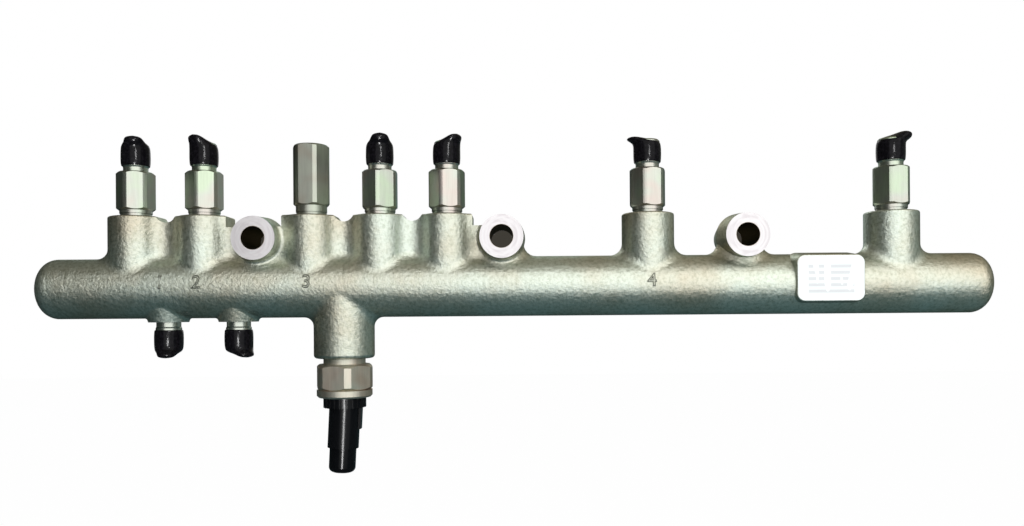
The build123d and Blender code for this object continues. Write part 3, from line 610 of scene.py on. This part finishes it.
def forge_mark(name, text, x, height, sizes, finish):
    """The raised outline of a digit on the front of the bar, wrapped round it."""
    curve = bpy.data.curves.new(name, "FONT")
    curve.body = text
    curve.size = sizes.mark_height * BODY_TO_DIGIT
    curve.align_x = "CENTER"
    curve.align_y = "CENTER"
    curve.fill_mode = "NONE"
    curve.bevel_depth = sizes.mark_rise
    flat = bpy.data.objects.new(name, curve)
    bpy.context.scene.collection.objects.link(flat)
    bpy.context.view_layer.update()
    mesh = bpy.data.meshes.new_from_object(flat)
    bpy.data.objects.remove(flat)
    digit = bmesh.new()
    digit.from_mesh(mesh)
    for vert in digit.verts:
        angle = (vert.co.y + height) / BAR_RADIUS
        radius = BAR_RADIUS + vert.co.z
        out, up = radius * math.cos(angle), radius * math.sin(angle)
        vert.co = Vector((x + vert.co.x, AXIS_Y - out, AXIS_Z + up))
    return keep(name, digit, finish)


# ---------------------------------------------------------------- stage

# The floor lies this far below the rail, and this share of it is plain white where it is looked at directly
FLOOR_DROP = 0.52
FLOOR_SIZE = 6.0
FLOOR_WHITENESS = 0.985
FLOOR_REFLECTANCE = 0.9

# The box of dark cards: its size, the height of its middle, the rim round its open back, where its shade is
# full brown, and how strong its glow is on the left and on the right
CARD_BOX = Vector((2.2, 3.2, 1.7))
CARD_MIDDLE_Z = 0.4
CARD_RIM = 0.6
CARD_BROWN_Z = 1.0
CARD_GLOW = (0.4, 1.7)

# How bright the room is for light that isn't looked at directly
FILL_LEVEL = 0.5


def aim(thing, target, roll=0.0):
    """Turns a camera or lamp so that it looks at a point."""
    turn = (target - thing.location).to_track_quat("-Z", "Y").to_matrix().to_4x4()
    thing.matrix_world = Matrix.Translation(thing.location) @ turn @ Matrix.Rotation(roll, 4, "Z")


def soft_lamp(name, place, target, width, height, power):
    """A rectangular soft light."""
    lamp = bpy.data.lights.new(name, "AREA")
    lamp.shape = "RECTANGLE"
    lamp.size = width
    lamp.size_y = height
    lamp.energy = power
    holder = bpy.data.objects.new(name, lamp)
    holder.location = place
    bpy.context.scene.collection.objects.link(holder)
    aim(holder, target)
    holder.visible_camera = False
    return holder


def glints(target):
    """Two small lamps, high and low, for the tight glints on the black mouldings. They are a studio aid: they
    are linked to those pieces alone and add only gloss."""
    mouldings = bpy.data.collections.new("black_mouldings")
    for piece in bpy.data.objects:
        if piece.name.startswith(("soft_", "sensor_connector", "sensor_plug")):
            mouldings.objects.link(piece)
    high = soft_lamp("high_glint", (0.25, -0.95, 0.23), target, width=0.09, height=0.12, power=3.0)
    low = soft_lamp("low_glint", (0.05, -0.95, -0.25), target, width=0.12, height=0.40, power=20.0)
    for lamp in (high, low):
        lamp.visible_diffuse = False
        lamp.light_linking.receiver_collection = mouldings


def spread(tree, value, low, high, first=0.0, last=1.0):
    """A value that runs from low to high, spread from first to last."""
    ends = {"From Min": low, "From Max": high, "To Min": first, "To Max": last}
    return add(tree, "ShaderNodeMapRange", {"Value": value, **ends}).outputs[0]


def seen_directly(tree):
    """1 where a ray comes from the camera, or from the camera by way of metal, gloss or glass."""
    path = add(tree, "ShaderNodeLightPath").outputs
    both = math_node(tree, "MAXIMUM", path["Is Camera Ray"], path["Is Glossy Ray"])
    return math_node(tree, "MAXIMUM", both, path["Is Transmission Ray"])


def stage_mesh(name, mesh_builder, finish):
    """Turns a bmesh into an object of the stage."""
    thing = put(name, mesh_builder, finish)
    return thing


def pale_floor(level):
    """A wide pale floor that keeps a soft shadow and runs out to the white background."""
    floor = bmesh.new()
    bmesh.ops.create_grid(floor, x_segments=1, y_segments=1, size=FLOOR_SIZE)
    bmesh.ops.translate(floor, vec=(0, 0, level), verts=floor.verts)
    made, tree = bare_material("matt_white_floor")
    matt = add(tree, "ShaderNodeBsdfDiffuse", {"Color": opaque([FLOOR_REFLECTANCE] * 3)})
    white = add(tree, "ShaderNodeEmission", {"Color": (1, 1, 1, 1), "Strength": 1.0})
    lift = math_node(tree, "MULTIPLY", seen_directly(tree), FLOOR_WHITENESS)
    mixed = add(tree, "ShaderNodeMixShader", {0: lift, 1: matt.outputs[0], 2: white.outputs[0]})
    add(tree, "ShaderNodeOutputMaterial", {"Surface": mixed.outputs[0]})
    stage_mesh("floor", floor, made)


def shade_behind_holes():
    """Dark discs at the lugs' seats, which glow faintly. They are part of the stage: they keep the white
    background out of the holes. Only the front shows them, and from behind the holes stay open."""
    made, tree = bare_material("hole_shadow")
    dark = add(tree, "ShaderNodeEmission", {"Color": opaque(linear("#403D37"))})
    clear = add(tree, "ShaderNodeBsdfTransparent")
    behind = add(tree, "ShaderNodeNewGeometry").outputs["Backfacing"]
    shown = add(tree, "ShaderNodeMixShader", {0: behind, 1: dark.outputs[0], 2: clear.outputs[0]})
    add(tree, "ShaderNodeOutputMaterial", {"Surface": shown.outputs[0]})
    for number, mount in enumerate(LUG_HOLES, 1):
        disc = bmesh.new()
        bmesh.ops.create_circle(disc, cap_ends=True, segments=48, radius=LUG_HOLE_RADIUS)
        turn = Matrix.Rotation(math.pi / 2, 4, "X")
        place = Matrix.Translation(mount["pos_m"])
        bmesh.ops.transform(disc, matrix=place @ turn, verts=disc.verts)
        stage_mesh(f"hole_shadow_{number}", disc, made)


def dark_cards():
    """Dark cards round the set, outside the picture and seen only in reflections: they give round, shiny
    steel its dark edges. Teal below, brown above, as a workshop's floor and ceiling are."""
    box = bmesh.new()
    bmesh.ops.create_cube(box, size=1.0)
    bmesh.ops.scale(box, vec=CARD_BOX, verts=box.verts)
    bmesh.ops.translate(box, vec=(0.0, 0.0, CARD_MIDDLE_Z), verts=box.verts)
    back = [f for f in box.faces if f.normal.y > 0.9]
    bmesh.ops.inset_region(box, faces=back, thickness=CARD_RIM)
    bmesh.ops.delete(box, geom=back, context="FACES_ONLY")
    made, tree = bare_material("dark_card")
    place = add(tree, "ShaderNodeTexCoord").outputs["Object"]
    parts = add(tree, "ShaderNodeSeparateXYZ", {"Vector": place}).outputs
    share = spread(tree, parts["Z"], CARD_MIDDLE_Z - CARD_BOX.z / 2, CARD_BROWN_Z)
    tone = ramp(tree, share, (0.0, linear("#42595D")), (1.0, linear("#848071")))
    side = spread(tree, parts["X"], -CARD_BOX.x / 2, CARD_BOX.x / 2, *CARD_GLOW)
    glow = add(tree, "ShaderNodeEmission", {"Color": tone, "Strength": side})
    add(tree, "ShaderNodeOutputMaterial", {"Surface": glow.outputs[0]})
    cards = stage_mesh("dark_cards", box, made)
    cards.visible_camera = False
    cards.visible_diffuse = False
    cards.visible_shadow = False
    cards.visible_transmission = False


def white_world():
    """White background; a plain pale fill for everything that isn't looked at directly."""
    world = bpy.data.worlds.new("white_room")
    world.use_nodes = True
    tree = world.node_tree
    tree.nodes.clear()
    level = spread(tree, seen_directly(tree), 0.0, 1.0, FILL_LEVEL, 1.0)
    light = add(tree, "ShaderNodeBackground", {"Color": (1, 1, 1, 1), "Strength": level})
    add(tree, "ShaderNodeOutputWorld", {"Surface": light.outputs[0]})
    bpy.context.scene.world = world


class RAIL_OT_stage(bpy.types.Operator):
    """Set up the camera, the soft lights, the floor and the white background"""

    bl_idname = "rail.stage"
    bl_label = "Stage"

    def execute(self, context):
        stage = context.scene.rail_stage
        camera_data = bpy.data.cameras.new("camera")
        camera_data.lens = stage.lens
        camera_data.sensor_width = 36.0
        camera_data.clip_start = 0.01
        camera = bpy.data.objects.new("camera", camera_data)
        camera_data.shift_y = stage.shift
        aim_point = Vector((stage.offset, AXIS_Y, AXIS_Z + stage.rise))
        camera.location = aim_point - Vector((0, stage.distance, 0))
        context.scene.collection.objects.link(camera)
        aim(camera, aim_point, stage.roll)
        context.scene.camera = camera
        context.scene.view_settings.view_transform = "Standard"
        target = Vector((0.02, AXIS_Y, AXIS_Z))
        key = (0.31, -0.95, 0.22)
        soft_lamp("key_light", key, target, width=1.95, height=1.65, power=stage.key_power)
        glints(target)
        soft_lamp("back_light", (-0.3, 1.3, 1.1), target, width=1.2, height=0.8, power=6.0)
        pale_floor(AXIS_Z - FLOOR_DROP)
        shade_behind_holes()
        dark_cards()
        white_world()
        return {"FINISHED"}


# ---------------------------------------------------------------- operators for the pieces


class RAIL_OT_forging(bpy.types.Operator):
    """Finish the forged body and the screw plug in its end"""

    bl_idname = "rail.forging"
    bl_label = "Forging"

    def execute(self, context):
        finishes = context.scene.rail_finishes
        finish_node("rail_body", shot_blasted_zinc(finishes))
        finish_node("bore_plug", plain_steel("blackened_socket_plug", linear("#6A6A68"), 0.4, 0.5 * MM))
        return {"FINISHED"}


class RAIL_OT_fittings(bpy.types.Operator):
    """Finish the hexagon fittings, the pressure limiter and the sensor's steel body"""

    bl_idname = "rail.fittings"
    bl_label = "Fittings"

    def execute(self, context):
        finishes = context.scene.rail_finishes
        machined = tuple(finishes.machined)
        green, warm = linear("#C4D1BA"), linear("#CDC1BA")
        fitting = turned_zinc("turned_zinc_fitting", machined, green, warm, 0.26)
        for number in OUTLETS:
            finish_node(f"flow_limiter_body_{number}", fitting)
        base, green, warm = linear("#B8BAAF"), linear("#BEC4B4"), linear("#B0A89B")
        finish_node("limiter_body", turned_zinc("zinc_limiter_hexagon", base, green, warm, 0.34))
        base, green, warm = linear("#E6DCCD"), linear("#DFDDCD"), linear("#DCC6B4")
        finish_node("sensor_body", turned_zinc("brushed_sensor_hexagon", base, green, warm, 0.42))
        return {"FINISHED"}


class RAIL_OT_inner_parts(bpy.types.Operator):
    """Finish the valve parts and electronics inside the fittings"""

    bl_idname = "rail.inner_parts"
    bl_label = "Inner parts"

    def execute(self, context):
        ground = plain_steel("ground_bearing_steel", linear("#C9C9C9"), 0.16, 0.4 * MM)
        wire = plain_steel("drawn_spring_wire", linear("#8B8B8F"), 0.34, 0.3 * MM)
        contact = plain_steel("tinned_brass", linear("#CFC8AE"), 0.3, 0.5 * MM)
        for number in OUTLETS:
            finish_node(f"flow_limiter_stop_{number}", ground)
            finish_node(f"flow_limiter_piston_{number}", ground)
            live_spring(f"flow_limiter_spring_{number}", wire)
        for part in ("seat", "ball", "guide", "screw"):
            finish_node(f"limiter_{part}", ground)
        live_spring("limiter_spring", wire)
        finish_node("sensor_element", ground)
        finish_node("sensor_board", glass_epoxy())
        finish_node("sensor_terminals", contact)
        return {"FINISHED"}


class RAIL_OT_connector(bpy.types.Operator):
    """Finish the sensor's plastic connector and its dust plug"""

    bl_idname = "rail.connector"
    bl_label = "Connector"

    def execute(self, context):
        nylon = tuple(context.scene.rail_finishes.nylon)
        finish_node("sensor_connector", moulded_nylon("glass_filled_nylon", nylon, 0.15, 0.35 * MM))
        finish_node("sensor_plug", moulded_nylon("polished_plug_plastic", linear("#08090B"), 0.12, 0.8 * MM))
        return {"FINISHED"}


class RAIL_OT_label(bpy.types.Operator):
    """Finish the blank label on its pad"""

    bl_idname = "rail.label"
    bl_label = "Label"

    def execute(self, context):
        finish_node("rating_label", label_film(context.scene.rail_finishes))
        return {"FINISHED"}


class RAIL_OT_outlet_caps(bpy.types.Operator):
    """Model the six dipped caps on the outlet threads, each with its tab turned its own way"""

    bl_idname = "rail.outlet_caps"
    bl_label = "Outlet caps"

    def execute(self, context):
        sizes = context.scene.rail_sizes
        vinyl = dipped_vinyl(context.scene.rail_finishes)
        # Which way each tab points, from +X towards the back, in degrees, and how far it rises and reaches
        tabs = (
            (-76, 1.1, 0.5),
            (-118, 1.3, 0.35),
            (-80, 1.3, 0.5),
            (-38, 1.2, 0.45),
            (-178, 0.7, 1.2),
            (-6, 1.35, 1.2),
        )
        for number, (heading, rise, reach) in zip(OUTLETS, tabs):
            node = f"outlet_cap_{number}"
            name = f"soft_outlet_cap_{number}"
            soft_cap(name, node, math.radians(heading), sizes, vinyl, rise, reach)
        return {"FINISHED"}


class RAIL_OT_inlet_caps(bpy.types.Operator):
    """Model the two dipped caps on the inlet threads"""

    bl_idname = "rail.inlet_caps"
    bl_label = "Inlet caps"

    def execute(self, context):
        sizes = context.scene.rail_sizes
        vinyl = bpy.data.materials["dipped_vinyl"]
        for number, heading, reach in ((1, 80, 0.85), (2, 40, 0.85)):
            node = f"inlet_cap_{number}"
            name = f"soft_inlet_cap_{number}"
            soft_cap(name, node, math.radians(heading), sizes, vinyl, 1.0, reach, down=True)
        return {"FINISHED"}


class RAIL_OT_forge_marks(bpy.types.Operator):
    """Model the outlined digits forged on the front of the bar"""

    bl_idname = "rail.forge_marks"
    bl_label = "Forge marks"

    def execute(self, context):
        sizes = context.scene.rail_sizes
        # The marks are coloured darker than the forging around them: painted shade, standing in for the shadow
        # along their raised outlines
        finish = plain_steel("forge_marks_painted_shade", linear("#8F9187"), 0.42, 0.8 * MM)
        marks = (("1", -188.0, 2.8), ("2", -168.0, 2.8), ("3", -107.5, 2.8), ("4", 82.7, 2.2))
        for text, x, height in marks:
            forge_mark(f"forge_mark_{text}", text, x * MM, height * MM, sizes, finish)
        return {"FINISHED"}


STEPS = (
    RAIL_OT_forging,
    RAIL_OT_fittings,
    RAIL_OT_inner_parts,
    RAIL_OT_connector,
    RAIL_OT_label,
    RAIL_OT_outlet_caps,
    RAIL_OT_inlet_caps,
    RAIL_OT_forge_marks,
    RAIL_OT_stage,
)


class RAIL_PT_looks(bpy.types.Panel):
    """The rail's sizes, colours and steps"""

    bl_label = "Fuel Rail"
    bl_space_type = "VIEW_3D"
    bl_region_type = "UI"
    bl_category = "Fuel Rail"

    def draw(self, context):
        column = self.layout.column()
        for group in (context.scene.rail_finishes, context.scene.rail_sizes, context.scene.rail_stage):
            for name in group.__annotations__:
                column.prop(group, name)
            column.separator()
        for step in STEPS:
            column.operator(step.bl_idname)


GROUPS = {"rail_finishes": RailFinishes, "rail_sizes": RailSizes, "rail_stage": RailStage}


def register():
    """Registers every class and hangs the settings on the scene."""
    for each in (*GROUPS.values(), *STEPS, RAIL_PT_looks):
        bpy.utils.register_class(each)
    for name, group in GROUPS.items():
        setattr(bpy.types.Scene, name, PointerProperty(type=group))


def unregister():
    """Takes everything register added away again."""
    for name in GROUPS:
        delattr(bpy.types.Scene, name)
    for each in reversed((*GROUPS.values(), *STEPS, RAIL_PT_looks)):
        bpy.utils.unregister_class(each)


def main():
    """Builds the whole scene, step by step."""
    register()
    for step in STEPS:
        group, name = step.bl_idname.split(".")
        getattr(getattr(bpy.ops, group), name)()


if __name__ == "__main__":
    main()
